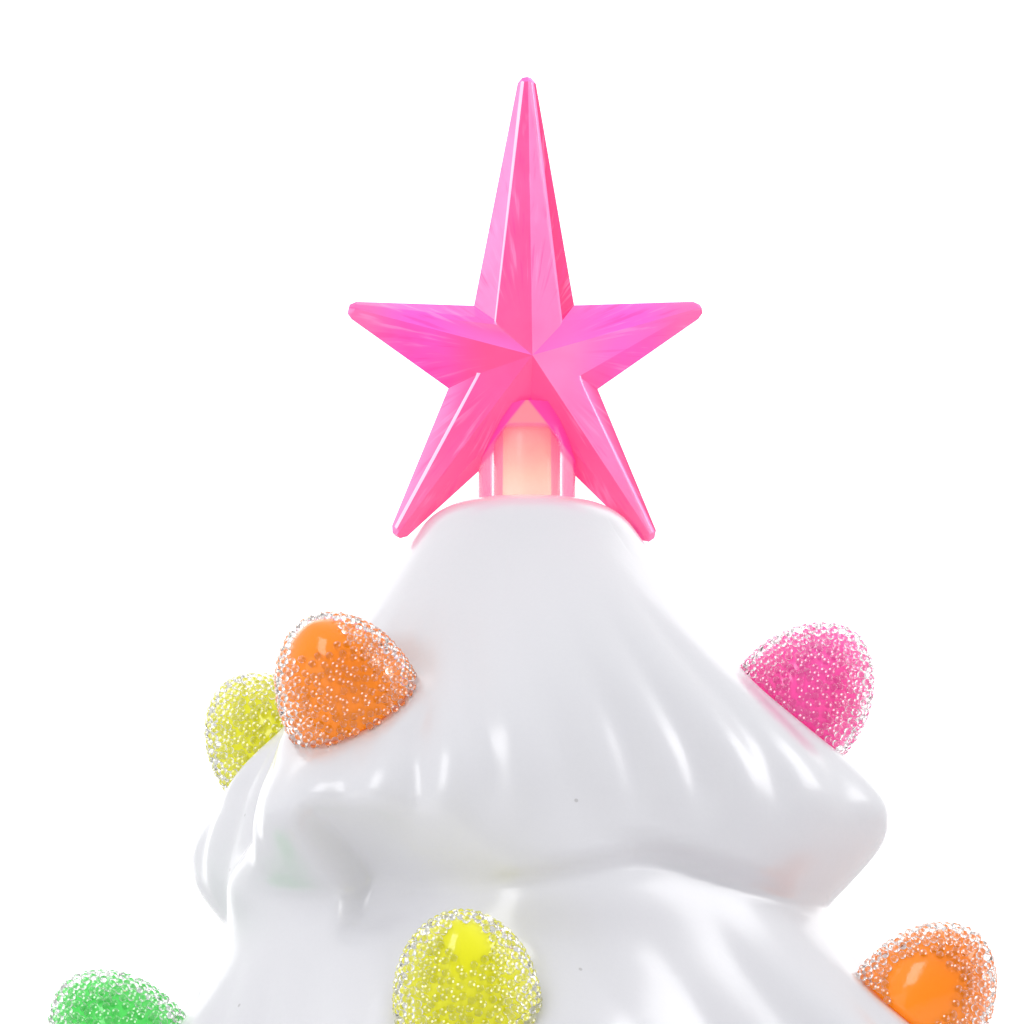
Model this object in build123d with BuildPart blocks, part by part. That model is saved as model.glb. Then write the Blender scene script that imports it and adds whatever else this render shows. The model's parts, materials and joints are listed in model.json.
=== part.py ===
"""Battery-lit ceramic tabletop tree: a slip-cast tree that lifts off a hollow base, a plastic star on its crown
and a gumdrop bulb on every branch. Millimetres, +Z up, origin under the middle of the base, front at -Y."""

import math
import os

from build123d import *

os.makedirs("parts", exist_ok=True)

# Ceramic tree: heights are above the tree's own bottom face, and tiers run from the lowest to the top one
tree_height = 198.2
tree_wall = 5.0
tree_floor = 6.0
tree_opening_radius = 43.0
skirt_radius = 90.0
tier_tip_height = (14.0, 62.0, 109.0, 154.0)
tier_tip_radius = (108.0, 91.0, 72.0, 51.0)
tier_waist_height = (48.0, 95.0, 140.0, 174.5)
tier_waist_radius = (79.0, 60.0, 40.0, 29.2)
tier_lean = (0.0, 2.0, 8.0, 5.0)
lean_azimuth = 225.0
branch_azimuths = (
    (0, 45, 90, 135, 180, 225, 270, 315),
    (10, 60, 110, 165, 215, 265, 315),
    (18, 98, 170, 240, 310),
    (10, 129, 201, 285),
)
branch_nose = 8.0
branch_taper = 40.0
branch_facets = 10
branch_tip_flat = 2.6
inside_sides = 24
turned_sides = 48
flare_steps = 3
branch_root_depth = 10.0
crown_radius = 12.3
crown_round = 9.0

# Sides of the small hidden rounds, which need no finer curve
round_sides = 12
cell_sides = 24

# Gumdrop bulbs: moulded domes on a peg, cemented into a faced seat
gumdrop_radius = 9.6
gumdrop_height = 14.6
gumdrop_rim = 1.2
gumdrop_shoulder_radius = 7.7
gumdrop_shoulder_share = 0.62
gumdrop_top_radius = 3.3
gumdrop_sides = 10
peg_radius = 3.5
peg_length = 9.0
peg_sides = 6
peg_clearance = 0.3
seat_depth = 1.0
seat_clearance = 0.5
seat_distance = (20.0, 19.0, 18.5, 14.0)

# Star topper: each arm is a ridged taper, listed from the top arm counter-clockwise
star_turn = 8.0
star_centre_height = 20.9
star_arm_length = (40.2, 26.0, 31.7, 31.2, 26.0)
star_arm_angle = (90.0, 166.3, 234.5, 304.5, 16.8)
star_arm_width = 15.0
star_ridge_depth = 14.5
star_crease_width = 9.0
star_crease_depth = 9.5
star_tip_width = 2.6
star_tip_depth = 2.6
star_tip_cap = 0.8
star_collar_radius = 6.8
star_collar_straight = 6.3
star_collar_height = 13.8
star_collar_top_radius = 5.2
star_peg_radius = 5.9
star_peg_length = 11.0
star_bore_radius = 4.7
star_hole_clearance = 0.3
light_guide_clearance = 0.15
light_guide_length = 21.5

# Ceramic base
foot_height = 2.0
foot_radius = 3.4
foot_count = 4
base_height = 58.0
base_foot_radius = 63.0
base_foot_band = 5.0
base_foot_ring = 8.0
base_waist_radius = 47.0
base_waist_height = 36.0
base_ledge_radius = 53.0
base_wall = 5.0
base_cavity_shoulder = 6.2
base_cavity_height = 20.0
neck_clearance = 1.2
neck_height = 7.0
lamp_hole_radius = 15.0

# Bottom plate with the battery bay, and its door
plate_recess = 1.2
plate_thickness = 2.6
plate_clearance = 0.4
plate_ledge = 4.0
cell_radius = 7.1
cell_length = 49.2
cell_nub_radius = 2.7
cell_nub_length = 1.3
cell_count = 3
cell_gap = 0.7
cell_clearance = 0.4
contact_gap = 0.1
contact_size = 9.0
contact_thickness = 0.5
spring_length = 5.5
spring_radius = 4.0
spring_tip_radius = 2.2
bay_wall = 1.6
door_thickness = 1.8
door_gap = 0.4
hinge_radius = 1.1
hinge_length = 36.0
hinge_pin_radius = 0.7
hinge_pin_length = 2.0
hinge_clearance = 0.1
hinge_lug_width = 3.4
hinge_lug_rise = 1.2
latch_width = 14.0
latch_reach = 4.0
grip_groove = 0.6
grip_pitch = 2.4

# Switch, boards and leads
switch_offset = 36.0
switch_travel = 3.0
switch_wall = 1.2
knob_length = 5.0
knob_width = 4.0
knob_proud = 0.8
knob_flange = 1.4
knob_flange_thickness = 1.2
slide_clearance = 0.3
board_length = 40.0
board_width = 16.0
board_thickness = 1.6
boss_radius = 2.6
boss_inset = 4.0
lamp_flange = 5.0
lamp_flange_thickness = 1.6
lamp_spigot_depth = 7.0
lamp_spigot_wall = 1.6
lamp_spigot_clearance = 0.4
lamp_window = 14.0
lamp_board_size = 24.0
led_size = 4.0
led_thickness = 1.4
led_count = 6
led_circle_radius = 8.5
lead_radius = 0.7
lead_sides = 4
lead_spacing = 6.0
lead_height = 38.0
lead_inset = 4.0

# Levels and places worked out from the sizes above
ledge_z = foot_height + base_height
tree_top_z = ledge_z + tree_height
deck_z = ledge_z + neck_height
plate_z = foot_height + plate_recess
plate_top_z = plate_z + plate_thickness
taper_sin = math.sin(math.radians(branch_taper))
taper_cos = math.cos(math.radians(branch_taper))
trunk_rings = [(ledge_z, skirt_radius)]
trunk_rings += [(ledge_z + height, radius) for height, radius in zip(tier_waist_height, tier_waist_radius)]
crown_turn = math.atan2(tree_top_z - trunk_rings[-1][0], trunk_rings[-1][1] - crown_radius)
crown_flat = crown_radius - crown_round * math.tan(crown_turn / 2)
crown_turns = [crown_turn * (1 - k / flare_steps) for k in range(flare_steps + 1)]
crown_rings = [
    (tree_top_z - crown_round * (1 - math.cos(a)), crown_flat + crown_round * math.sin(a)) for a in crown_turns
]


def save(builder, name):
    """Label a finished piece and write its file."""
    builder.part.label = name
    export_step(builder.part, f"parts/{name}.step")
    print(name, round(builder.part.volume), "mm3", len(builder.part.solids()), "solid(s)")


def outward(azimuth):
    """Level direction of an azimuth, counted from +X towards the front at -Y."""
    return Vector(math.cos(math.radians(azimuth)), -math.sin(math.radians(azimuth)), 0)


def branch_height(tier, azimuth):
    """Height of a branch's axis: each tier leans, so its tips hang lower towards the lean."""
    share = (1 + math.cos(math.radians(azimuth - lean_azimuth))) / 2
    return ledge_z + tier_tip_height[tier] - tier_lean[tier] * share


def seat_plane(tier, azimuth):
    """Plane a bulb sits on: square to the branch's upper ridge and sunk a little into it."""
    normal = outward(azimuth) * taper_sin + Vector(0, 0, taper_cos)
    uphill = outward(azimuth) * -taper_cos + Vector(0, 0, taper_sin)
    nose = outward(azimuth) * (tier_tip_radius[tier] - branch_nose) + Vector(0, 0, branch_height(tier, azimuth))
    origin = nose + uphill * seat_distance[tier] + normal * (branch_nose - seat_depth)
    return Plane(origin, x_dir=uphill, z_dir=normal)


def facet_ring(plane, sides, distance, radius):
    """Corners of a regular polygon across a plane's normal, with a flat side towards the plane's X axis."""
    corner = radius / math.cos(math.pi / sides)
    turns = [2 * math.pi * (k + 0.5) / sides for k in range(sides)]
    return [plane.from_local_coords((corner * math.cos(t), corner * math.sin(t), distance)) for t in turns]


def facet_dome(plane, sides, rings):
    """Flat-sided dome along a plane's normal, from rings of (distance, radius)."""
    ConvexPolyhedron([point for distance, radius in rings for point in facet_ring(plane, sides, distance, radius)])


def facet_stack(sides, rings):
    """Flat-sided turning about the Z axis, one taper on top of another, from rings of (height, radius)."""
    for band in zip(rings, rings[1:]):
        facet_dome(Plane.XY, sides, band)


def flare(start, end):
    """Rings along an arc between two (height, radius) points that leaves the first one upright."""
    out, climb = end[1] - start[1], end[0] - start[0]
    arc_radius = (out * out + climb * climb) / (2 * out)
    turns = [math.asin(climb / arc_radius) * k / flare_steps for k in range(flare_steps + 1)]
    return [(start[0] + arc_radius * math.sin(a), start[1] + arc_radius * (1 - math.cos(a))) for a in turns]


branches = [(tier, azimuth) for tier, azimuths in enumerate(branch_azimuths) for azimuth in azimuths]

# Tree: a turned trunk with a round-nosed, facet-carved branch at every azimuth, cast hollow
with BuildPart() as tree_body:
    facet_stack(turned_sides, trunk_rings + crown_rings)
    for tier, azimuth in branches:
        root = tier_waist_radius[tier] - branch_root_depth
        nose = tier_tip_radius[tier] - branch_nose
        ridge = nose + branch_nose * taper_sin
        root_rise = branch_nose * taper_cos + (ridge - root) * taper_sin / taper_cos
        facet_dome(
            Plane((0, 0, branch_height(tier, azimuth)), x_dir=(0, 0, 1), z_dir=outward(azimuth)),
            branch_facets,
            [
                (root, root_rise),
                (ridge, branch_nose * taper_cos),
                (tier_tip_radius[tier], branch_tip_flat),
            ],
        )
    split(bisect_by=Plane.XY.offset(ledge_z), keep=Keep.TOP)
    ceiling_z = tree_top_z - star_peg_length
    hollow = [(ledge_z + tree_floor, skirt_radius - tree_wall)]
    hollow += [(z, radius - tree_wall) for z, radius in trunk_rings[1:]]
    hollow += [(ceiling_z, crown_radius - tree_wall)]
    with BuildPart(mode=Mode.SUBTRACT):
        facet_stack(inside_sides, hollow)
        facet_stack(turned_sides, [(ledge_z, tree_opening_radius), (ledge_z + tree_floor, tree_opening_radius)])
    with BuildSketch(Plane.XY.offset(tree_top_z)):
        Circle(star_peg_radius + star_hole_clearance)
    extrude(amount=-2 * star_peg_length, mode=Mode.SUBTRACT)
    with BuildPart(mode=Mode.SUBTRACT):
        for tier, azimuth in branches:
            pocket = gumdrop_radius + seat_clearance
            hole = peg_radius + peg_clearance
            facet_dome(seat_plane(tier, azimuth), gumdrop_sides, [(0, pocket), (gumdrop_height, pocket)])
            facet_dome(seat_plane(tier, azimuth), peg_sides, [(-3 * peg_length, hole), (0, hole)])
save(tree_body, "tree_body")

# Gumdrop bulbs: one to a branch, seated square to the ridge
for tier, azimuths in enumerate(branch_azimuths):
    for number, azimuth in enumerate(azimuths, start=1):
        seat = seat_plane(tier, azimuth)
        dome_height = gumdrop_height - gumdrop_rim
        with BuildPart() as gumdrop:
            facet_dome(
                seat,
                gumdrop_sides,
                [
                    (0, gumdrop_radius),
                    (gumdrop_rim, gumdrop_radius),
                    (gumdrop_rim + dome_height * gumdrop_shoulder_share, gumdrop_shoulder_radius),
                    (gumdrop_height, gumdrop_top_radius),
                ],
            )
            facet_dome(seat, peg_sides, [(-peg_length, peg_radius), (0, peg_radius)])
        save(gumdrop, f"gumdrop_tier{len(branch_azimuths) - tier}_{number}")

# Star: five ridged arms on a collar whose peg drops into the crown
star_centre = Vector(0, 0, tree_top_z + star_centre_height)
star_face = Plane(star_centre, x_dir=outward(-star_turn), z_dir=outward(90 - star_turn))


def arm_ring(angle, distance, width_scale, depth_scale):
    """Eight-cornered cross-section of a star arm: two edges, four creases and two ridges."""
    along = Vector(math.cos(math.radians(angle)), math.sin(math.radians(angle)), 0) * distance
    aside = Vector(-math.sin(math.radians(angle)), math.cos(math.radians(angle)), 0) * width_scale / 2
    edge, crease = aside * star_arm_width, aside * star_crease_width
    lift, ridge = Vector(0, 0, star_crease_depth / 2 * depth_scale), Vector(0, 0, star_ridge_depth / 2 * depth_scale)
    corners = [edge, -edge, crease + lift, crease - lift, -crease + lift, -crease - lift, ridge, -ridge]
    return [star_face.from_local_coords(along + corner) for corner in corners]


with BuildPart() as star:
    for angle, length in zip(star_arm_angle, star_arm_length):
        tip_width, tip_depth = star_tip_width / star_arm_width, star_tip_depth / star_ridge_depth
        ConvexPolyhedron(
            arm_ring(angle, 0, 1, 1)
            + arm_ring(angle, length - star_tip_cap, tip_width, tip_depth)
            + arm_ring(angle, length, tip_width / 2, tip_depth / 2)
        )
    facet_dome(
        Plane.XY.offset(tree_top_z),
        inside_sides,
        [
            (0, star_collar_radius),
            (star_collar_straight, star_collar_radius),
            (star_collar_height, star_collar_top_radius),
        ],
    )
    with BuildSketch(Plane.XY.offset(tree_top_z)):
        Circle(star_peg_radius)
    extrude(amount=-star_peg_length)
    with BuildSketch(Plane.XY.offset(tree_top_z - star_peg_length)):
        Circle(star_bore_radius)
    extrude(amount=light_guide_length, mode=Mode.SUBTRACT)
save(star, "star")

with BuildPart() as star_light_guide:
    with BuildSketch(Plane.XY.offset(tree_top_z - star_peg_length)):
        Circle(star_bore_radius - light_guide_clearance)
    extrude(amount=light_guide_length)
save(star_light_guide, "star_light_guide")

# Base: a turned pedestal with a neck that the tree drops over and a deck that carries the lamp
rabbet_radius = base_foot_radius - base_foot_ring
neck_radius = tree_opening_radius - neck_clearance
waist_z = foot_height + base_waist_height
band_z = foot_height + base_foot_band

with BuildPart() as base_shell:
    waist = (waist_z, base_waist_radius)
    foot_flare = flare(waist, (band_z, base_foot_radius))[::-1]
    ledge_flare = flare(waist, (ledge_z, base_ledge_radius))
    facet_stack(turned_sides, [(foot_height, base_foot_radius)] + foot_flare + ledge_flare[1:])
    facet_stack(turned_sides, [(ledge_z, neck_radius), (deck_z, neck_radius)])
    with BuildPart(mode=Mode.SUBTRACT):
        facet_stack(turned_sides, [(foot_height, rabbet_radius), (plate_top_z, rabbet_radius)])
        facet_stack(
            turned_sides,
            [
                (plate_top_z, rabbet_radius - plate_ledge),
                (foot_height + base_cavity_shoulder, rabbet_radius - plate_ledge),
                (foot_height + base_cavity_height, base_waist_radius - base_wall),
                (waist_z, base_waist_radius - base_wall),
                (ledge_z - base_wall, neck_radius - base_wall),
                (deck_z - base_wall, neck_radius - base_wall),
            ],
        )
        facet_stack(turned_sides, [(deck_z - base_wall, lamp_hole_radius), (deck_z, lamp_hole_radius)])
save(base_shell, "base_shell")

with BuildPart() as rubber_feet:
    with BuildSketch():
        with PolarLocations(base_foot_radius - base_foot_ring / 2, foot_count, start_angle=180 / foot_count):
            RegularPolygon(foot_radius, round_sides)
    extrude(amount=foot_height)
save(rubber_feet, "rubber_feet")

# Bottom plate: closes the base and carries the battery bay, the door's hinge and the switch
bay_length = 2 * (contact_thickness + contact_gap) + spring_length + cell_length + cell_nub_length
bay_width = cell_count * 2 * cell_radius + (cell_count - 1) * cell_gap + 2 * cell_clearance
cell_z = plate_z + door_thickness + cell_clearance + cell_radius
bay_roof_z = cell_z + cell_radius + cell_clearance
hinge_x = -bay_length / 2 - hinge_radius - door_gap
hinge_z = plate_z + hinge_radius
flange_length = knob_length + 2 * knob_flange
flange_width = knob_width + 2 * knob_flange
board_z = plate_top_z + 2 * slide_clearance + knob_flange_thickness + switch_wall
board_top_z = board_z + board_thickness
with BuildPart() as bottom_plate:
    with BuildSketch(Plane.XY.offset(plate_z)):
        Circle(rabbet_radius - plate_clearance)
        Rectangle(bay_length, bay_width, mode=Mode.SUBTRACT)
        with Locations((hinge_x, 0)):
            notch = 2 * (hinge_radius + door_gap)
            Rectangle(notch, hinge_length + 2 * door_gap, mode=Mode.SUBTRACT)
        with Locations((bay_length / 2, 0)):
            Rectangle(2 * (latch_reach + door_gap), latch_width + 2 * door_gap, mode=Mode.SUBTRACT)
        with Locations((0, switch_offset)):
            slot = knob_length + 2 * (switch_travel + slide_clearance)
            Rectangle(slot, knob_width + 2 * slide_clearance, mode=Mode.SUBTRACT)
    extrude(amount=plate_thickness)
    with BuildSketch(Plane.XY.offset(plate_top_z)):
        Rectangle(bay_length + 2 * bay_wall, bay_width + 2 * bay_wall)
        Rectangle(bay_length, bay_width, mode=Mode.SUBTRACT)
    extrude(amount=bay_roof_z - plate_top_z)
    with BuildSketch(Plane.XY.offset(bay_roof_z)):
        Rectangle(bay_length + 2 * bay_wall, bay_width + 2 * bay_wall)
    extrude(amount=bay_wall)
    with BuildSketch(Plane.XY.offset(plate_top_z)):
        lug_y = (hinge_length + hinge_lug_width) / 2 + door_gap
        with Locations((hinge_x, lug_y), (hinge_x, -lug_y)):
            Rectangle(notch, hinge_lug_width)
    extrude(amount=hinge_lug_rise)
    with BuildSketch(Plane((hinge_x, 0, hinge_z), x_dir=(1, 0, 0), z_dir=(0, 1, 0))):
        Circle(hinge_pin_radius + hinge_clearance)
    extrude(amount=hinge_length / 2 + hinge_pin_length + door_gap, both=True, mode=Mode.SUBTRACT)
    with BuildSketch(Plane.XY.offset(plate_top_z)):
        with Locations((0, switch_offset)):
            with GridLocations(board_length - 2 * boss_inset, 0, 2, 1):
                RegularPolygon(boss_radius, round_sides)
    extrude(amount=board_z - plate_top_z)
save(bottom_plate, "bottom_plate")

with BuildPart() as battery_door:
    with BuildSketch(Plane.XY.offset(plate_z)):
        Rectangle(bay_length - 2 * door_gap, bay_width - 2 * door_gap)
        with Locations((hinge_x, 0)):
            Rectangle(2 * (hinge_radius + door_gap), hinge_length, align=(Align.MIN, Align.CENTER))
        with Locations((bay_length / 2 - door_gap, 0)):
            Rectangle(latch_reach, latch_width, align=(Align.MIN, Align.CENTER))
    extrude(amount=door_thickness)
    hinge_line = Plane((hinge_x, 0, hinge_z), x_dir=(1, 0, 0), z_dir=(0, 1, 0))
    with BuildSketch(hinge_line):
        Circle(hinge_radius)
    extrude(amount=hinge_length / 2, both=True)
    with BuildSketch(hinge_line):
        Circle(hinge_pin_radius)
    extrude(amount=hinge_length / 2 + hinge_pin_length, both=True)
    with BuildSketch(Plane.XY.offset(plate_z)):
        with Locations((bay_length / 2 - 3 * grip_pitch, 0)):
            with GridLocations(grip_pitch, 0, 4, 1):
                Rectangle(grip_pitch / 2, latch_width)
    extrude(amount=grip_groove, mode=Mode.SUBTRACT)
save(battery_door, "battery_door")

# Cells lie side by side, every second one turned end for end, with a contact plate at both ends
lanes = [(k - (cell_count - 1) / 2) * (2 * cell_radius + cell_gap) for k in range(cell_count)]
contact_face = bay_length / 2 - contact_thickness


def cell_plane(lane):
    """Plane at the plus end's contact of a cell, with its normal towards the cell's minus end."""
    side = 1 if lane % 2 == 0 else -1
    return Plane((side * contact_face, lanes[lane], cell_z), x_dir=(0, 0, 1), z_dir=(-side, 0, 0))


for lane in range(cell_count):
    with BuildPart() as battery:
        nub_end = contact_gap + cell_nub_length
        facet_dome(cell_plane(lane), round_sides, [(contact_gap, cell_nub_radius), (nub_end, cell_nub_radius)])
        facet_dome(cell_plane(lane), cell_sides, [(nub_end, cell_radius), (nub_end + cell_length, cell_radius)])
    save(battery, f"battery_{lane + 1}")

with BuildPart() as contact_plates:
    for lane in range(cell_count):
        with Locations((0, lanes[lane], cell_z)):
            with GridLocations(2 * contact_face + contact_thickness, 0, 2, 1):
                Box(contact_thickness, contact_size, contact_size)
save(contact_plates, "contact_plates")

with BuildPart() as contact_springs:
    for lane in range(cell_count):
        far_end = cell_plane(lane).offset(2 * contact_face)
        facet_dome(far_end, peg_sides, [(-spring_length, spring_tip_radius), (0, spring_radius)])
save(contact_springs, "contact_springs")

# Switch under the plate: a flanged knob trapped in its housing, with the control board on top
with BuildPart() as switch_knob:
    with BuildSketch(Plane.XY.offset(plate_z - knob_proud)):
        with Locations((0, switch_offset)):
            Rectangle(knob_length, knob_width)
    extrude(amount=knob_proud + plate_thickness + slide_clearance)
    with BuildSketch(Plane.XY.offset(plate_top_z + slide_clearance)):
        with Locations((0, switch_offset)):
            Rectangle(flange_length, flange_width)
    extrude(amount=knob_flange_thickness)
save(switch_knob, "switch_knob")

with BuildPart() as switch_body:
    room_length = flange_length + 2 * (switch_travel + slide_clearance)
    room_width = flange_width + 2 * slide_clearance
    with BuildSketch(Plane.XY.offset(plate_top_z)):
        with Locations((0, switch_offset)):
            Rectangle(room_length + 2 * switch_wall, room_width + 2 * switch_wall)
    extrude(amount=board_z - plate_top_z)
    with BuildSketch(Plane.XY.offset(plate_top_z)):
        with Locations((0, switch_offset)):
            Rectangle(room_length, room_width)
    extrude(amount=board_z - plate_top_z - switch_wall, mode=Mode.SUBTRACT)
save(switch_body, "switch_body")

with BuildPart() as control_board:
    with BuildSketch(Plane.XY.offset(board_z)):
        with Locations((0, switch_offset)):
            Rectangle(board_length, board_width)
    extrude(amount=board_thickness)
save(control_board, "control_board")

# Lamp on the base's deck: a flanged holder, its board and the light-emitting chips
lamp_top_z = deck_z + lamp_flange_thickness
with BuildPart() as lamp_holder:
    with BuildSketch(Plane.XY.offset(deck_z)):
        RegularPolygon(lamp_hole_radius + lamp_flange, cell_sides)
        Rectangle(lamp_window, lamp_window, mode=Mode.SUBTRACT)
    extrude(amount=lamp_flange_thickness)
    with BuildSketch(Plane.XY.offset(deck_z)):
        RegularPolygon(lamp_hole_radius - lamp_spigot_clearance, cell_sides)
        RegularPolygon(lamp_hole_radius - lamp_spigot_clearance - lamp_spigot_wall, cell_sides, mode=Mode.SUBTRACT)
    extrude(amount=-lamp_spigot_depth)
save(lamp_holder, "lamp_holder")

with BuildPart() as lamp_board:
    with BuildSketch(Plane.XY.offset(lamp_top_z)):
        Rectangle(lamp_board_size, lamp_board_size)
    extrude(amount=board_thickness)
save(lamp_board, "lamp_board")

with BuildPart() as lamp_leds:
    with BuildSketch(Plane.XY.offset(lamp_top_z + board_thickness)):
        with PolarLocations(led_circle_radius, led_count):
            Rectangle(led_size, led_size)
    extrude(amount=led_thickness)
save(lamp_leds, "lamp_leds")

# Leads from the battery bay to the control board, and from there up to the lamp
lead_row = switch_offset - board_width / 2 + lead_inset
bay_side = bay_width / 2 + bay_wall
with BuildPart() as lead_wires:
    for side in (-1, 1):
        lamp_x = side * lead_spacing / 2
        bay_x = side * (board_length / 2 - lead_inset)
        routes = [
            ([(lamp_x, lead_row, board_top_z), (lamp_x, lead_row, lead_height), (lamp_x, lead_inset, ledge_z),
              (lamp_x, lead_inset, lamp_top_z)], lead_inset),
            ([(bay_x, bay_side, cell_z), (bay_x, lead_row, cell_z), (bay_x, lead_row, board_top_z)], 2 * lead_radius),
        ]
        for points, bend in routes:
            with BuildLine() as route:
                FilletPolyline(*points, radius=bend)
            with BuildSketch(Plane(points[0], z_dir=Vector(points[1]) - Vector(points[0]))):
                RegularPolygon(lead_radius, lead_sides)
            sweep(path=route.line)
save(lead_wires, "lead_wires")
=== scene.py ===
# %% [markdown]
# A lit ceramic tree for a tabletop: a white glazed casting with drooping branches, a sugared gumdrop bulb
# on every branch, a pink plastic star on a glowing stem, and a turned base that hides the batteries. The
# lesson dresses the exact solids of the imported model with the soft shapes and finishes that the real tree
# has. The solids come in first. They set every place and size, and nothing here moves them.

# %% Load the imported model
import json
import math
import random

import bpy
import numpy as np
from mathutils import Matrix, Vector

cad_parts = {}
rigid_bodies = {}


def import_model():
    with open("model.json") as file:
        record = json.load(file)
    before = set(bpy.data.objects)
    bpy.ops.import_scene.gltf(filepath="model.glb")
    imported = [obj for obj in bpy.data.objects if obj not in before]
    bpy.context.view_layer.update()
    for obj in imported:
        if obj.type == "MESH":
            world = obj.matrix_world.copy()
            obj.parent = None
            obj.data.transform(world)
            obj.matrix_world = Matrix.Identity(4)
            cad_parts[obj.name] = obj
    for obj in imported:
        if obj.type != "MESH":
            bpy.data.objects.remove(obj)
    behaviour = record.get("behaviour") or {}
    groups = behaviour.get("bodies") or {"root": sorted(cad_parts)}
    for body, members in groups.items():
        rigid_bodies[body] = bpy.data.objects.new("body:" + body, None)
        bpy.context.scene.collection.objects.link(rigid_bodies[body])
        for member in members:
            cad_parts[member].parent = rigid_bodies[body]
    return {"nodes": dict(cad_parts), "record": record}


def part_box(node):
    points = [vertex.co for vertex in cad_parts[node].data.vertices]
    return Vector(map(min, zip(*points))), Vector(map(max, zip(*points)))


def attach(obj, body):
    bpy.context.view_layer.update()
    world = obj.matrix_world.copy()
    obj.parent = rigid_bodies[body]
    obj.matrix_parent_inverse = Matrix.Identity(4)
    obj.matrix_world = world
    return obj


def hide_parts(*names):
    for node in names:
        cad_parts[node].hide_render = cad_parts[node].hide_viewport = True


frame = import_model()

bpy.ops.object.select_all(action="DESELECT")
nodes = frame["nodes"]
slot_of = {part["node"]: part["material_slot"] for part in frame["record"]["subparts"]}
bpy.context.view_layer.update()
mm = 0.001

# %% [markdown]
# The picture looks a little upwards at the top of the tree from about 0.7 m away, so the camera stands
# lower than what it aims at. A long lens keeps the upright lines upright. The camera is tilted and not
# shifted, which keeps every other view of the tree honest.

# %% Camera
camera_place = Vector((0, -0.700, 0.150))
camera_aim = Vector((-0.0021, 0, 0.257))
camera_turn = (camera_aim - camera_place).to_track_quat("-Z", "Y").to_euler()
bpy.ops.object.camera_add(location=camera_place, rotation=camera_turn)
camera = bpy.context.object
camera.data.lens = 177.8
camera.data.sensor_width = 36
camera.data.clip_start = 0.01
bpy.context.scene.camera = camera
print("camera", [round(v, 3) for v in camera.location], "lens", camera.data.lens)

# %% [markdown]
# White glaze on a white ground is lit almost from everywhere, and its shape shows in faint shade and in a
# few soft glints. The room is white behind, above and beside the tree and dimmer on the camera's side,
# which is what greys the middle of the crown. A sum over the direction makes that sky. Two softboxes give
# the glints on tips and flutes, and a broad dim one fills from the lower left.

# %% Sky and softboxes
dimmest_way = (0.22, -0.84, -0.50)
sky_range = {"From Min": -0.6, "From Max": 1.0, "To Min": 0.95, "To Max": 0.42}
sky = bpy.data.worlds.new("white_studio")
sky.use_nodes = True
sky_nodes = sky.node_tree.nodes
sky_way = sky_nodes.new("ShaderNodeTexCoord")
sky_front = sky_nodes.new("ShaderNodeVectorMath")
sky_front.operation = "DOT_PRODUCT"
sky_front.inputs[1].default_value = dimmest_way
sky_level = sky_nodes.new("ShaderNodeMapRange")
sky_level.interpolation_type = "SMOOTHSTEP"
for socket, value in sky_range.items():
    sky_level.inputs[socket].default_value = value
sky.node_tree.links.new(sky_way.outputs["Generated"], sky_front.inputs[0])
sky.node_tree.links.new(sky_front.outputs["Value"], sky_level.inputs["Value"])
sky.node_tree.links.new(sky_level.outputs["Result"], sky_nodes["Background"].inputs["Strength"])
sky_nodes["Background"].inputs["Color"].default_value = (0.985, 0.985, 1.0, 1.0)
bpy.context.scene.world = sky
bpy.context.scene.view_settings.view_transform = "Standard"
bpy.context.scene.view_settings.look = "None"
lamp_aim = Vector((0, 0, 0.22))


def softbox(name, place, width, height, watts):
    """Area light that faces the crown of the tree."""
    turn = (lamp_aim - Vector(place)).to_track_quat("-Z", "Y").to_euler()
    bpy.ops.object.light_add(type="AREA", location=place, rotation=turn)
    lamp = bpy.context.object
    lamp.name = name
    lamp.data.shape = "RECTANGLE"
    lamp.data.size = width
    lamp.data.size_y = height
    lamp.data.energy = watts
    return lamp


softbox("softbox_left", (-0.45, -0.85, 1.05), 0.34, 0.66, 2.6)
softbox("softbox_right", (1.05, 0.05, 0.84), 0.50, 0.50, 2.6)
softbox("fill_left", (-0.85, -0.85, 0.20), 0.90, 0.90, 1.5)

# %% [markdown]
# The floor is a large pale sheet, and a second sheet hangs far behind the tree as the white ground of the
# picture.

# %% Floor and backdrop
bpy.ops.mesh.primitive_plane_add(size=60.0, location=(0, 0, 0))
floor = bpy.context.object
floor.name = "floor"
bpy.ops.mesh.primitive_plane_add(size=8.0, location=(0, 5.0, 3.0), rotation=(math.radians(90), 0, 0))
backdrop = bpy.context.object
backdrop.name = "backdrop"
print("stage", floor.name, backdrop.name)

# %% [markdown]
# Finishes are node materials. Writing the sums as Python keeps them readable: a socket is wrapped in a
# small class whose operators add Math nodes, and one method adds any other node. Only the sockets that
# may change over a surface get links. A number that is the same all over is set on the shader.

# %% Words for node sums
class Value:
    """Socket of a finish that can stand in a Python sum."""

    def __init__(self, finish, socket):
        self.finish = finish
        self.socket = socket

    def sum(self, operation, first, second):
        return self.finish.node("ShaderNodeMath", {"operation": operation}, {0: first, 1: second})

    def __add__(self, other):
        return self.sum("ADD", self, other)

    def __radd__(self, other):
        return self.sum("ADD", other, self)

    def __sub__(self, other):
        return self.sum("SUBTRACT", self, other)

    def __rsub__(self, other):
        return self.sum("SUBTRACT", other, self)

    def __mul__(self, other):
        return self.sum("MULTIPLY", self, other)

    def __rmul__(self, other):
        return self.sum("MULTIPLY", other, self)

    def __truediv__(self, other):
        return self.sum("DIVIDE", self, other)


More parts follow.
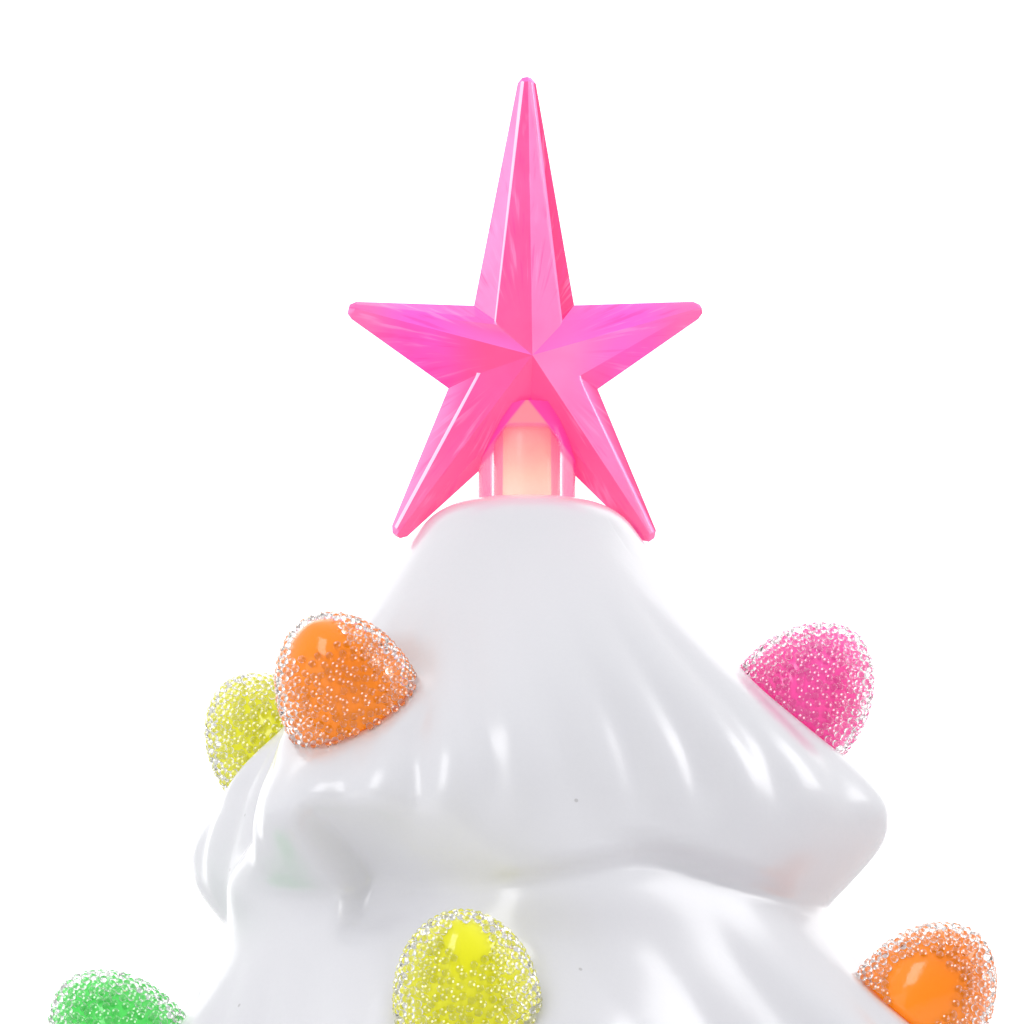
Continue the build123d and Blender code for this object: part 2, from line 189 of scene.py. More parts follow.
class Finish:
    """Node material with one Principled shader."""

    def __init__(self, name, **constants):
        self.material = bpy.data.materials.new(name)
        self.material.use_nodes = True
        self.tree = self.material.node_tree
        self.shader = self.tree.nodes["Principled BSDF"]
        for socket, value in constants.items():
            self.shader.inputs[socket.replace("_", " ")].default_value = value

    def node(self, kind, settings=None, sockets=None, output=0):
        """Add a node, set it up, fill its sockets and hand back one of its outputs."""
        made = self.tree.nodes.new(kind)
        for name, value in (settings or {}).items():
            if name == "stops":
                self.place_stops(made.color_ramp.elements, value)
            else:
                setattr(made, name, value)
        for socket, value in (sockets or {}).items():
            if isinstance(value, Value):
                self.tree.links.new(value.socket, made.inputs[socket])
            else:
                made.inputs[socket].default_value = value
        return Value(self, made.outputs[output])

    def place_stops(self, elements, stops):
        """Set a ramp's stops from (place, colour) pairs."""
        while len(elements) < len(stops):
            elements.new(0.5)
        for element, (place, colour) in zip(elements, stops):
            element.position = place
            element.color = colour

    def feed(self, **links):
        """Link values to the shader's sockets."""
        for socket, value in links.items():
            self.tree.links.new(value.socket, self.shader.inputs[socket.replace("_", " ")])

    def place(self, kind="Object"):
        """Where a point lies on the piece, in metres, or the way that it faces."""
        return self.node("ShaderNodeTexCoord", output=["Generated", "Normal", "UV", "Object"].index(kind))

    def height(self):
        """How high a point lies, in metres."""
        return self.node("ShaderNodeSeparateXYZ", {}, {0: self.place()}, output=2)

    def noise(self, per_metre, detail=2.0, roughness=0.5):
        """Soft random clouds from 0 to 1."""
        sockets = {"Vector": self.place(), "Scale": per_metre, "Detail": detail, "Roughness": roughness}
        return self.node("ShaderNodeTexNoise", {}, sockets)

    def between(self, value, low, high):
        """0 below low, 1 above high and a soft step between."""
        sockets = {"Value": value, "From Min": low, "From Max": high}
        return self.node("ShaderNodeMapRange", {"interpolation_type": "SMOOTHSTEP"}, sockets)

    def mix(self, share, first, second):
        """Colour between two colours."""
        return self.node("ShaderNodeMix", {"data_type": "RGBA"}, {0: share, 6: first, 7: second}, output=2)

    def bump(self, height, distance, strength=1.0):
        """Small relief, given in metres."""
        sockets = {"Height": height, "Distance": distance, "Strength": strength}
        return self.node("ShaderNodeBump", {}, sockets)


def screen(red, green, blue):
    """Linear colour of a screen colour that is given from 0 to 255."""
    shares = [c / 255 for c in (red, green, blue)]
    return tuple(c / 12.92 if c <= 0.04045 else ((c + 0.055) / 1.055) ** 2.4 for c in shares) + (1.0,)


def wear(piece, finish):
    """Give a piece one finish."""
    piece.data.materials.clear()
    piece.data.materials.append(finish.material)


print("white on screen 240 is", round(screen(240, 240, 240)[0], 3), "in the sums")

# %% [markdown]
# The floor's paint is matt and pale, with a breath of unevenness. The backdrop glows, because the ground
# of the picture is pure white and no paint under these lamps would be.

# %% Floor finish
floor_paint = Finish("floor_paint", Roughness=0.8)
floor_clouds = floor_paint.noise(1.5)
floor_paint.feed(Base_Color=floor_paint.mix(floor_clouds, screen(224, 224, 226), screen(230, 230, 231)))
wear(floor, floor_paint)
backdrop_glow = Finish("backdrop_glow", Roughness=1.0, Emission_Strength=1.0)
backdrop_clouds = backdrop_glow.noise(0.5)
backdrop_white = backdrop_glow.mix(backdrop_clouds, screen(255, 255, 255), screen(254, 254, 255))
backdrop_glow.feed(Emission_Color=backdrop_white)
wear(backdrop, backdrop_glow)
print("stage wears", floor.data.materials[0].name, backdrop.data.materials[0].name)

# %% [markdown]
# The glaze is a thick, clear, glassy coat over a cool white body. It is never quite even: it pools a
# little greyer here and there, it has a faint orange-peel that makes reflections swim, and it carries a
# few pin-point specks. All of it reads the piece's own coordinates, so tree and base match.

# %% White glaze
glaze = Finish("white_glaze", IOR=1.5, Coat_Weight=1.0, Coat_Roughness=0.20, Coat_IOR=1.5)
pooling = 0.5 * glaze.noise(26.0, 3.0) + 0.5 * glaze.noise(2200.0)
speck_field = glaze.node("ShaderNodeTexVoronoi", {}, {"Vector": glaze.place(), "Scale": 90.0})
specks = 1.0 - glaze.between(speck_field, 0.018, 0.03)
white = glaze.mix(pooling, screen(230, 230, 235), screen(236, 236, 240))
glaze.feed(Base_Color=glaze.mix(specks * 0.35, white, screen(120, 112, 104)))
glaze.feed(Roughness=0.29 + 0.08 * glaze.noise(60.0))
glaze.feed(Normal=glaze.bump(glaze.noise(420.0, 2.0), 0.00003))
print("glaze nodes", len(glaze.tree.nodes))

# %% [markdown]
# A potter would throw the tree's inner form on a wheel, and so does this step. One corner is drawn along
# an outline, which is spun about the upright axis. The same helper later turns the base, the bulbs and
# the glowing stem.

# %% A potter's wheel
def deselect():
    """Select nothing."""
    bpy.ops.object.select_all(action="DESELECT")


def turn_on_wheel(name, outline, steps, crease=40.0):
    """Turning about Z from an outline of (radius, height) in millimetres."""
    deselect()
    bpy.ops.mesh.primitive_plane_add(size=mm, location=(0, 0, 0))
    piece = bpy.context.object
    piece.name = name
    bpy.ops.object.mode_set(mode="EDIT")
    bpy.ops.mesh.merge(type="CENTER")
    bpy.ops.transform.translate(value=(outline[0][0] * mm, 0, outline[0][1] * mm))
    for (radius, height), (next_radius, next_height) in zip(outline, outline[1:]):
        step = ((next_radius - radius) * mm, 0, (next_height - height) * mm)
        bpy.ops.mesh.extrude_vertices_move(TRANSFORM_OT_translate={"value": step})
    bpy.ops.object.mode_set(mode="OBJECT")
    wheel = piece.modifiers.new("wheel", "SCREW")
    wheel.steps = steps
    wheel.render_steps = steps
    bpy.ops.object.modifier_apply(modifier="wheel")
    bpy.ops.object.mode_set(mode="EDIT")
    bpy.ops.mesh.select_all(action="SELECT")
    bpy.ops.mesh.remove_doubles(threshold=0.002 * mm)
    bpy.ops.mesh.normals_make_consistent(inside=False)
    bpy.ops.object.mode_set(mode="OBJECT")
    bpy.ops.object.shade_smooth_by_angle(angle=math.radians(crease))
    return piece


print("the wheel takes outlines in units of", mm, "m")

# %% [markdown]
# Four tiers of branches stand on the trunk. A branch is a round-nosed lobe that points level outwards. A
# tier leans a little, so its tips hang lower towards the back left. The numbers are those of the solids,
# in millimetres.

# %% Tree sizes
ledge = 60.0
crown_top = 258.2
crown_round = 9.0
crown_radius = 12.3
wall = 5.0
opening_radius = 43.0
star_hole_radius = 6.2
trunk = [(ledge, 90.0), (108.0, 79.0), (155.0, 60.0), (200.0, 40.0), (234.5, 29.2)]
trunk.append((crown_top, crown_radius))
tip_height = (74.0, 122.0, 169.0, 214.0)
tip_radius = (108.0, 91.0, 72.0, 51.0)
tier_lean = (0.0, 2.0, 8.0, 5.0)
lean_azimuth = 225.0
azimuths = (
    (0, 45, 90, 135, 180, 225, 270, 315),
    (10, 60, 110, 165, 215, 265, 315),
    (18, 98, 170, 240, 310),
    (10, 129, 201, 285),
)
taper = math.radians(40.0)
nose = 8.0
seat_depth = 1.0
seat_distance = (20.0, 19.0, 18.5, 14.0)
branches = [(tier, azimuth) for tier, ring in enumerate(azimuths) for azimuth in ring]


def outward(azimuth):
    """Level direction of an azimuth, counted from +X towards the front at -Y."""
    return Vector((math.cos(math.radians(azimuth)), -math.sin(math.radians(azimuth)), 0))


def branch_height(tier, azimuth):
    """Height of a branch's tip."""
    return tip_height[tier] - tier_lean[tier] * (1 + math.cos(math.radians(azimuth - lean_azimuth))) / 2


def seat(tier, azimuth):
    """Middle of a bulb's seat, the way it faces and the way uphill."""
    facing = outward(azimuth) * math.sin(taper) + Vector((0, 0, math.cos(taper)))
    uphill = outward(azimuth) * -math.cos(taper) + Vector((0, 0, math.sin(taper)))
    middle = outward(azimuth) * (tip_radius[tier] - nose) + Vector((0, 0, branch_height(tier, azimuth)))
    return middle + uphill * seat_distance[tier] + facing * (nose - seat_depth), facing, uphill


print("branches", len(branches))

# %% [markdown]
# The casting starts as a plain turning: outside up the trunk, over the rounded crown, down the star's
# hole and the hollow inside, and back under the foot. Its outer wall has many rows, because the branches
# and flutes are pushed out of them next, and the rows lie closer near the top, which the picture shows.

# %% Turn the trunk
crown_turn = math.atan2(crown_top - trunk[-2][0], trunk[-2][1] - crown_radius)
crown_flat = crown_radius - crown_round * math.tan(crown_turn / 2)
arc = [crown_turn * (1 - step / 9) for step in range(10)]
arc_centre = crown_top - crown_round
crown_arc = [(crown_flat + crown_round * math.sin(a), arc_centre + crown_round * math.cos(a)) for a in arc]
fine_from = 190.0
rows = list(np.arange(ledge, fine_from, 1.6)) + list(np.arange(fine_from, crown_arc[0][1] - 0.5, 0.9))
trunk_heights = [height for height, radius in trunk]
trunk_radii = [radius for height, radius in trunk]
corner_ease = 7.0


def trunk_radius(height):
    """Radius of the trunk, with its corners eased over a few millimetres."""
    window = min(corner_ease, height - ledge, crown_arc[0][1] - height)
    nearby = height + np.linspace(-window, window, 15)
    return float(np.mean(np.interp(nearby, trunk_heights, trunk_radii)))


outer = [(trunk_radius(row), float(row)) for row in rows] + crown_arc
hole_floor = crown_top - 11.0
foot_top = ledge + 6.0
inner = [(star_hole_radius, crown_top), (star_hole_radius, hole_floor), (crown_radius - wall, hole_floor)]
inner += [(radius - wall, height) for height, radius in reversed(trunk[1:-1])]
inner += [(trunk[0][1] - wall, foot_top), (opening_radius, foot_top), (opening_radius, ledge), outer[0]]
columns = 528
tree = turn_on_wheel("ceramic_tree", outer + inner, columns)
print("outer rows", len(outer), "faces", len(tree.data.polygons))

# %% [markdown]
# Now the branches. Seen from the axis, each point of the wall is pushed out to the farthest of the trunk
# and the branches there. A branch is a cone with a round nose, which is a hyperboloid, so one square root
# says how far it reaches. To its sides it fades into the trunk, and a soft maximum leaves a fillet there,
# as slip does in a mould. Below, a branch ends in a hem, which hangs lowest under the tip. The fillet is
# smaller there, so the lip stays crisp.

# %% Push out the branches
def ramp(value, start, end):
    """Soft step from 0 at start to 1 at end."""
    share = np.clip((value - start) / (end - start), 0.0, 1.0)
    return share * share * (3 - 2 * share)


def soft_max(first, second, blend):
    """The larger of two, with a fillet where they meet."""
    near = np.maximum(0.0, 1.0 - np.abs(first - second) / blend)
    return np.maximum(first, second) + near * near * blend / 4


fillet = 6.0
lip_fillet = 3.0
roundness = 4.6
hem_drop = 19.0
hem_lift = 11.0
far_gap = (85.0, 115.0)


def gap_beside(tier, azimuth, way):
    """Degrees from a branch to the next one of its tier, to the way of +1 or -1."""
    return min((way * (other - azimuth)) % 360 or 360 for other in azimuths[tier])


def branch_reach(tier, azimuth, angles, heights, trunk_there):
    """How far a branch reaches at each angle and height."""
    steep = math.tan(taper)
    apex = tip_radius[tier] + roundness / steep
    degrees = (angles - azimuth + 180.0) % 360.0 - 180.0
    side = np.radians(degrees)
    gap = np.where(degrees > 0, gap_beside(tier, azimuth, 1), gap_beside(tier, azimuth, -1))
    wide = ramp(gap, 80.0, 115.0)
    spread = 1.15 + 0.55 * wide
    drop = heights - branch_height(tier, azimuth)
    under_slope = 0.95 + 0.35 * ramp(gap_beside(tier, azimuth, -1), *far_gap)
    rise = np.where(drop < 0, drop * under_slope, drop)
    squared = (np.sin(side) / spread) ** 2 - (steep * np.cos(side)) ** 2
    linear = 2 * steep * steep * apex * np.cos(side)
    fixed = rise * rise + roundness * roundness - steep * steep * apex * apex
    root = np.sqrt(np.maximum(linear * linear - 4 * squared * fixed, 0.0))
    reach = -2 * fixed / np.maximum(linear + root, 0.001)
    reach = np.where((fixed < 0) & (np.cos(side) > 0.05), reach, 0.0)
    hold = ramp(np.abs(degrees), (0.70 + 0.10 * wide) * gap, 0.18 * gap)
    hem = hem_lift * np.minimum(np.abs(degrees) / (0.5 * gap), 1.0) - hem_drop
    hold = hold * ramp(drop, hem - 3.0, hem + 4.0)
    return trunk_there - fillet + (reach - trunk_there + fillet) * hold


places = np.empty(len(tree.data.vertices) * 3)
tree.data.vertices.foreach_get("co", places)
places = places.reshape(-1, 3) / mm
radii = np.hypot(places[:, 0], places[:, 1])
heights = places[:, 2]
angles = np.degrees(np.arctan2(-places[:, 1], places[:, 0]))
on_crown = np.interp(heights, [z for r, z in outer], [r for r, z in outer])
is_outer = radii > on_crown - 0.4
reach = radii.copy()
for tier, azimuth in branches:
    blend = lip_fillet + (fillet - lip_fillet) * ramp(heights - branch_height(tier, azimuth), -8.0, 4.0)
    pushed = soft_max(reach, branch_reach(tier, azimuth, angles, heights, radii), blend)
    reach = np.where(is_outer, pushed, reach)
print("outer corners", int(is_outer.sum()), "widest", round(float(reach.max()), 1), "mm")

# %% [markdown]
# Underneath, two branches that stand close run together in a web. Where the next branch is far, the
# casting is scooped hollow beside the tip, a keel runs down along the hollow, and two thirds of the way to
# the next branch the wall runs on down without a lip. A web or a run is a smooth bulge, and a scoop is a
# smooth dent.

# %% Fill the webs and scoop the hollows
under_tip = 7.0
close_gap = 90.0
scoop_depth = 6.0
scoop_half_height = 7.0
scoop_half_width = 10.0
scoop_floor = 2.5
scoop_blend = 2.5
keel_aside = 4.5
keel_width = 2.2
web_height = 4.0
web_half_height = 6.0
run_height = 4.2
run_half_height = 6.5
run_middle = 0.66
scoops = np.zeros(len(reach))
webs = np.zeros(len(reach))
for tier, azimuth in branches:
    degrees = (angles - azimuth + 180.0) % 360.0 - 180.0
    below = branch_height(tier, azimuth) - under_tip - heights
    upright_share = (below - 1.0) / scoop_half_height
    aside = np.radians(degrees) * reach + keel_aside
    across_share = np.where(aside > 0, aside / keel_width, aside / scoop_half_width)
    scoop = scoop_depth * np.exp(-across_share ** 2 - upright_share ** 4)
    scoops = np.maximum(scoops, scoop * ramp(gap_beside(tier, azimuth, -1), *far_gap))
    gap = gap_beside(tier, azimuth, 1)
    web_share = (degrees - 0.42 * gap) / (0.22 * gap)
    web = web_height * (gap / 72) ** 2 * np.exp(-web_share ** 2 - (below / web_half_height) ** 2)
    run_share = (degrees / gap - run_middle) / np.where(degrees / gap > run_middle, 0.14, 0.20)
    run_down = run_height * np.exp(-run_share ** 2 - ((below - 5.0) / run_half_height) ** 2)
    webs = np.maximum(webs, web if gap < close_gap else run_down)
scooped = soft_max(reach + webs - scoops, np.minimum(reach, radii - scoop_floor), scoop_blend)
reach = np.where(is_outer, scooped, reach)
print("deepest scoop", round(float(scoops.max()), 2), "mm, highest web", round(float(webs.max()), 2), "mm")

# %% [markdown]
# Soft flutes run down every tier like combed-back needles. They begin smooth under the crown, drift a
# little to one side, deepen towards the lip and die under it. Their spacing and depth change slowly round
# the tree, which keeps them from looking machined.

# %% Comb the flutes
flute_count = 31
flute_depth = 1.1
flute_length = 34.0
flute_drift = 12.0
grooves = np.zeros(len(reach))
for tier in range(4):
    lean = tier_lean[tier] * (1 + np.cos(np.radians(angles - lean_azimuth))) / 2
    above = heights - tip_height[tier] + lean
    drift = flute_drift * ramp(above, flute_length, 0.0)
    turn = np.radians(angles + drift + 23.0 * tier)
    wander = 8.0 * np.sin(np.radians(angles - 200.0)) + 0.35 * np.sin(5 * turn)
    phase = flute_count * turn + wander
    wave = 0.5 + 0.5 * np.cos(phase + 0.2 * np.sin(phase))
    strength = 0.74 + 0.26 * np.sin(7 * turn + 1.3 * tier)
    fade = ramp(above, flute_length, 6.0) * ramp(above, -6.0, 3.0)
    grooves = np.maximum(grooves, flute_depth * strength * fade * wave)
reach = np.where(is_outer, reach - grooves, reach)
print("deepest flute", round(float(grooves.max()), 2), "mm")

# %% [markdown]
# Each bulb needs a flat seat on its ridge. The wall near a seat is pressed flat to the seat's plane, and
# eased into the ridge over the next few millimetres.

# %% Press the bulb seats
share = np.where(is_outer, reach / np.maximum(radii, 0.001), 1.0)
places[:, 0] *= share
places[:, 1] *= share
seat_radius = 9.4
seat_ease = 4.5
press_reach = 9.0
for tier, azimuth in branches:
    middle, facing, uphill = [np.array(v) for v in seat(tier, azimuth)]
    away = places - middle
    lift = away @ facing
    aside = np.linalg.norm(away - np.outer(lift, facing), axis=1)
    pressed = ramp(aside, seat_radius + seat_ease, seat_radius) * (np.abs(lift) < press_reach) * is_outer
    places -= np.outer(lift * pressed, facing)
places[:, 2] = np.maximum(places[:, 2], ledge)
tree.data.vertices.foreach_set("co", (places * mm).ravel())
tree.data.update()
print("tree triangles", sum(len(p.vertices) - 2 for p in tree.data.polygons))

# %% [markdown]
# The surface is smooth glaze all over, so the whole tree is shaded smooth, with a crease only where the
# foot and the star's hole turn a corner. It stands for the solid tree and rides with it.

# %% Finish the tree
deselect()
tree.select_set(True)
bpy.context.view_layer.objects.active = tree
bpy.ops.object.shade_smooth_by_angle(angle=math.radians(55))
wear(tree, glaze)
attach(tree, "tree")
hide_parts("tree_body")
print("tree box", [[round(v, 4) for v in corner] for corner in (tree.bound_box[0], tree.bound_box[6])])

# %% [markdown]
# The base is a turned pedestal: a foot band, a waist drawn in and a flared ledge that the tree stands on,
# with a neck inside the tree. The outline goes up the outside, over the deck, down the lamp hole and back
# down the hollow. Short arcs round the edges as glaze does.

# %% Turn the base
def arc_between(start, end, steps):
    """Points of (radius, height) along an arc that leaves the first point upright."""
    out = end[0] - start[0]
    climb = end[1] - start[1]
    bend = (out * out + climb * climb) / (2 * out)
    turns = [math.asin(climb / bend) * step / steps for step in range(steps + 1)]
    return [(start[0] + bend * (1 - math.cos(a)), start[1] + bend * math.sin(a)) for a in turns]


waist = (47.0, 38.0)
base_outline = [(55.0, 2.0), (62.2, 2.0), (62.8, 2.3), (63.0, 2.9), (63.0, 6.2)]
base_outline += arc_between(waist, (63.0, 7.0), 14)[::-1]
base_outline += arc_between(waist, (53.0, 59.2), 10)[1:]
base_outline += [(52.7, 59.8), (52.0, 60.0), (41.8, 60.0), (41.8, 66.4), (41.2, 67.0)]
base_outline += [(15.0, 67.0), (15.0, 62.0), (36.8, 62.0), (36.8, 55.0), (42.0, 38.0)]
base_outline += [(42.0, 22.0), (51.0, 8.2), (51.0, 5.8), (55.0, 5.8), (55.0, 2.0)]
base = turn_on_wheel("ceramic_base", base_outline, 128, crease=32.0)
wear(base, glaze)
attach(base, "base")
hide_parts("base_shell")
print("base faces", len(base.data.polygons))

# %% [markdown]
# A bulb is a gumdrop of tinted resin, lit from inside. The resin is smooth and glossy, and its colour is
# a little cloudy, deeper in some places and brighter in others. It glows by itself, because the light
# inside reaches all of it. Its sugar coat comes next.

# %% Resin colours
resin_colours = {
    "gumdrop_pink": (screen(246, 50, 140), screen(255, 92, 180)),
    "gumdrop_orange": (screen(236, 112, 0), screen(250, 142, 0)),
    "gumdrop_yellow": (screen(206, 204, 0), screen(228, 226, 16)),
    "gumdrop_green": (screen(50, 205, 70), screen(90, 230, 100)),
}


def resin(name, deep, bright):
    """Tinted, glowing resin."""
    finish = Finish(name, IOR=1.45, Coat_Weight=0.5, Coat_Roughness=0.04, Emission_Strength=0.36)
    clouds = finish.noise(90.0, 1.0)
    colour = finish.mix(clouds, deep, bright)
    finish.feed(Base_Color=colour, Emission_Color=colour)
    finish.feed(Roughness=0.12 + 0.10 * finish.noise(300.0))
    finish.feed(Normal=finish.bump(finish.noise(500.0), 0.00008))
    return finish


resins = {name: resin(name, *colours) for name, colours in resin_colours.items()}
print("resins", list(resins))

# %% [markdown]
# One gumdrop is turned on the wheel at the origin, standing on its foot: a rounded heel, full sides and a
# soft top. It is a little smaller than the solid bulb, because the beads add their own thickness.

# %% Turn one gumdrop
bead_radius = 0.56
coat_thickness = 1.75 * bead_radius
gumdrop_radius = 9.6 - coat_thickness
gumdrop_height = 14.6 - coat_thickness


def gumdrop_side(share):
    """Radius of the gumdrop at a share of its height."""
    return gumdrop_radius * (1 - share ** 2.3) ** 0.60


heel = [(0.0, 0.0), (gumdrop_radius - 0.8, 0.0)]
heel += [(gumdrop_radius - 0.25, 0.25), (gumdrop_radius - 0.02, 0.8)]
side_shares = [math.sin(math.radians(a)) for a in range(6, 90, 6)]
dome = [(gumdrop_side(share), share * gumdrop_height) for share in side_shares]
dome = [(radius, height) for radius, height in dome if height > 1.0]
gumdrop = turn_on_wheel("gumdrop", heel + dome + [(0.0, gumdrop_height)], 40, crease=60.0)
print("gumdrop faces", len(gumdrop.data.polygons))

# %% [markdown]
# The sugar is clear glass beads, packed as close as they will go. Throwing points at the surface, and
# keeping only those that land clear of the ones before, gives the uneven packing that glue and shaking
# give. A bead is modelled once, and put on every point by instancing, which is then made real and joined.
# Some coats have a bare patch where the beads rubbed off.

# %% Where the beads go
bead_rise = 0.75 * bead_radius
bead_pitch = 1.72 * bead_radius


def bead_places(throws, bare_turn, bare_height, bare_size, seed):
    """Places of the beads over one gumdrop, in millimetres."""
    dice = np.random.default_rng(seed)
    levels = np.linspace(0.005, 0.995, 199)
    widths = np.array([gumdrop_side(level) for level in levels])
    slopes = np.hypot(np.gradient(widths), np.gradient(levels) * gumdrop_height)
    covered = np.cumsum(widths * slopes)
    level = np.interp(dice.uniform(0, covered[-1], throws), covered, levels)
    turn = dice.uniform(0, 2 * math.pi, throws)
    radius = np.interp(level, levels, widths) + bead_rise * np.sqrt(1 - level ** 2)
    lift = level * gumdrop_height + bead_rise * level
    thrown = np.column_stack((radius * np.cos(turn), radius * np.sin(turn), np.maximum(lift, bead_radius)))
    bare_at = np.array((gumdrop_side(bare_height) * math.cos(bare_turn),
                        gumdrop_side(bare_height) * math.sin(bare_turn), bare_height * gumdrop_height))
    ragged = bare_size + dice.uniform(-0.6, 0.6, throws)
    points = np.empty((0, 3))
    for point, edge in zip(thrown, ragged):
        clear = np.all(np.sum((points - point) ** 2, axis=1) > bead_pitch ** 2)
        if clear and np.linalg.norm(point - bare_at) > edge:
            points = np.vstack((points, point))
    return points


throws = 9000
print("beads on a full coat", len(bead_places(throws, 0.0, 0.5, 0.0, 1)))

# %% [markdown]
# A bead has only a few dozen faces, because there are thousands of them. Five coats are made and shared
# out: full, bare beside the top, bare on one side, a wide bare window low down, and bare right at the
# tip.

# %% Make the sugar coats
def sugar_coat(name, points):
    """Beads at points, as one mesh."""
    deselect()
    bpy.ops.mesh.primitive_uv_sphere_add(segments=8, ring_count=5, radius=bead_radius * mm)
    bead = bpy.context.object
    bpy.ops.object.mode_set(mode="EDIT")
    bpy.ops.transform.resize(value=(1.0, 1.0, 0.94))
    bpy.ops.object.mode_set(mode="OBJECT")
    bpy.ops.object.shade_smooth()
    spots = bpy.data.meshes.new(name + "_spots")
    spots.from_pydata((points * mm).tolist(), [], [])
    holder = bpy.data.objects.new(name + "_spots", spots)
    bpy.context.collection.objects.link(holder)
    bead.parent = holder
    holder.instance_type = "VERTS"
    deselect()
    holder.select_set(True)
    bpy.context.view_layer.objects.active = holder
    bpy.ops.object.duplicates_make_real()
    beads = [o for o in bpy.context.selected_objects if o.type == "MESH" and o is not holder]
    bpy.context.view_layer.objects.active = beads[0]
    holder.select_set(False)
    bpy.ops.object.join()
    coat = bpy.context.object
    coat.name = name
    bpy.data.objects.remove(holder)
    bpy.data.objects.remove(bead)
    bpy.ops.object.transform_apply(location=True, rotation=True, scale=True)
    return coat


# turn in radians, share of the height, size in millimetres and seed
bare_patches = {
    "full": (0.0, 0.5, 0.0, 1),
    "top": (0.6, 0.93, 3.4, 2),
    "side": (0.0, 0.62, 3.6, 3),
    "window": (0.0, 0.34, 5.2, 4),
    "tip": (0.0, 0.97, 4.4, 5),
}
coats = {}
for coat_name, patch in bare_patches.items():
    coats[coat_name] = sugar_coat("coat_" + coat_name, bead_places(throws, *patch))
print("coats", {name: len(coat.data.polygons) for name, coat in coats.items()})

# %% [markdown]
# Bead glass is clear and nearly colourless. A bead is so small that a lamp shows on it only as a white
# point, so those points are painted into the finish as a white glow: wherever a bead faces half way between
# a lamp and the viewer's side, it carries a painted glint. Some beads' painted glints are fainter than
# others.

# %% Bead glass
bead_glass = Finish("bead_glass", IOR=1.42, Transmission_Weight=1.0, Base_Color=(0.95, 0.95, 0.95, 1.0),
                    Emission_Strength=0.7)
glint_ways = ((-0.45, -0.75, 0.48), (0.50, -0.68, -0.20), (0.85, 0.10, 0.50))
glint_ways += ((-0.60, 0.70, 0.40), (0.55, 0.75, 0.35))
# painted glints: a white glow on each bead where it faces half way between a lamp and the viewer
painted_glints = 0.0
for way in glint_ways:
    turned = {0: bead_glass.place("Normal"), 1: Vector(way).normalized()}
    facing_lamp = bead_glass.node("ShaderNodeVectorMath", {"operation": "DOT_PRODUCT"}, turned, output=1)
    painted_glints = bead_glass.between(facing_lamp, 0.93, 0.985) + painted_glints
# makes the painted glints fainter on some beads
painted_glint_strength = bead_glass.between(bead_glass.noise(700.0, 0.0), 0.35, 0.65)
bead_glass.feed(Emission_Color=bead_glass.mix(painted_glints * painted_glint_strength, screen(0, 0, 0), screen(255, 252, 250)))
bead_glass.feed(Roughness=0.04 * bead_glass.noise(900.0))
print("bead glass nodes", len(bead_glass.tree.nodes))

# %% [markdown]
# Now a gumdrop goes on every branch. A copy of the body and of one coat is turned to stand square on its
# seat, and its place goes into its mesh. The bulbs that face the picture get the coat and the turn seen
# there.

# %% Put the bulbs on the branches
# coat and its turn in degrees
seen_coats = {
    "gumdrop_tier1_1": ("full", 0.0),
    "gumdrop_tier1_2": ("tip", 215.0),
    "gumdrop_tier1_3": ("full", 0.0),
    "gumdrop_tier2_1": ("window", 94.0),
    "gumdrop_tier2_2": ("top", 180.0),
    "gumdrop_tier2_3": ("full", 0.0),
}
dice = random.Random(7)
for tier, azimuth in branches:
    node = f"gumdrop_tier{4 - tier}_{azimuths[tier].index(azimuth) + 1}"
    coat_name, coat_turn = seen_coats.get(node, (dice.choice(list(coats)), dice.uniform(0, 360)))
    middle, facing, uphill = seat(tier, azimuth)
    across = facing.cross(uphill)
    stand = Matrix((uphill, across, facing)).transposed().to_4x4()
    stand.translation = middle * mm
    stand = stand @ Matrix.Rotation(math.radians(coat_turn), 4, "Z")
    for model, name in ((gumdrop, node + ".resin"), (coats[coat_name], node + ".sugar")):
        deselect()
        model.select_set(True)
        bpy.context.view_layer.objects.active = model
        bpy.ops.object.duplicate()
        copy = bpy.context.object
        copy.name = name
        copy.data.transform(stand)
        wear(copy, resins[slot_of[node]] if model is gumdrop else bead_glass)
        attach(copy, "tree")
        if model is gumdrop:
            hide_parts(node)
for model in [gumdrop] + list(coats.values()):
    bpy.data.objects.remove(model)
print("bulbs", len(branches))

# %% [markdown]
# The star is moulded in clear pink plastic. Its facets are the solid's own, so a copy of the solid is
# merged and its flat faces are joined up. The shading that came with the solid is cleared first, or
# facets would look smeared. Tiny edges at the tips are closed, because a bevel can't pass them, and the
# corners between the arms are drawn out a little, because the real star is fuller there.

# %% Star
deselect()
nodes["star"].select_set(True)
bpy.context.view_layer.objects.active = nodes["star"]
bpy.ops.object.duplicate()
star = bpy.context.object
star.name = "pink_star"
star.data.materials.clear()
star.parent = None
bpy.ops.mesh.customdata_custom_splitnormals_clear()
bpy.ops.object.mode_set(mode="EDIT")
bpy.ops.mesh.select_all(action="SELECT")
bpy.ops.mesh.remove_doubles(threshold=0.001 * mm)
bpy.ops.mesh.dissolve_limited(angle_limit=math.radians(0.5))
bpy.ops.object.mode_set(mode="OBJECT")
collar_top = 274.5 * mm
collar_reach = 7.2 * mm
for corner in star.data.vertices:
    corner.select = corner.co.z > collar_top or math.hypot(corner.co.x, corner.co.y) > collar_reach
bpy.ops.object.mode_set(mode="EDIT")
bpy.ops.mesh.remove_doubles(threshold=0.6 * mm)
bpy.ops.object.mode_set(mode="OBJECT")
star_middle = 279.1 * mm
arms_from = 275.0 * mm
fullness = 1.15
for corner in star.data.vertices:
    rise = corner.co.z - star_middle
    if corner.co.z > arms_from and math.hypot(corner.co.x, rise) < 12.0 * mm:
        corner.co.x = fullness * corner.co.x - 0.4 * mm
        corner.co.z = star_middle + fullness * rise - 1.1 * mm
print("star corners", len(star.data.vertices))

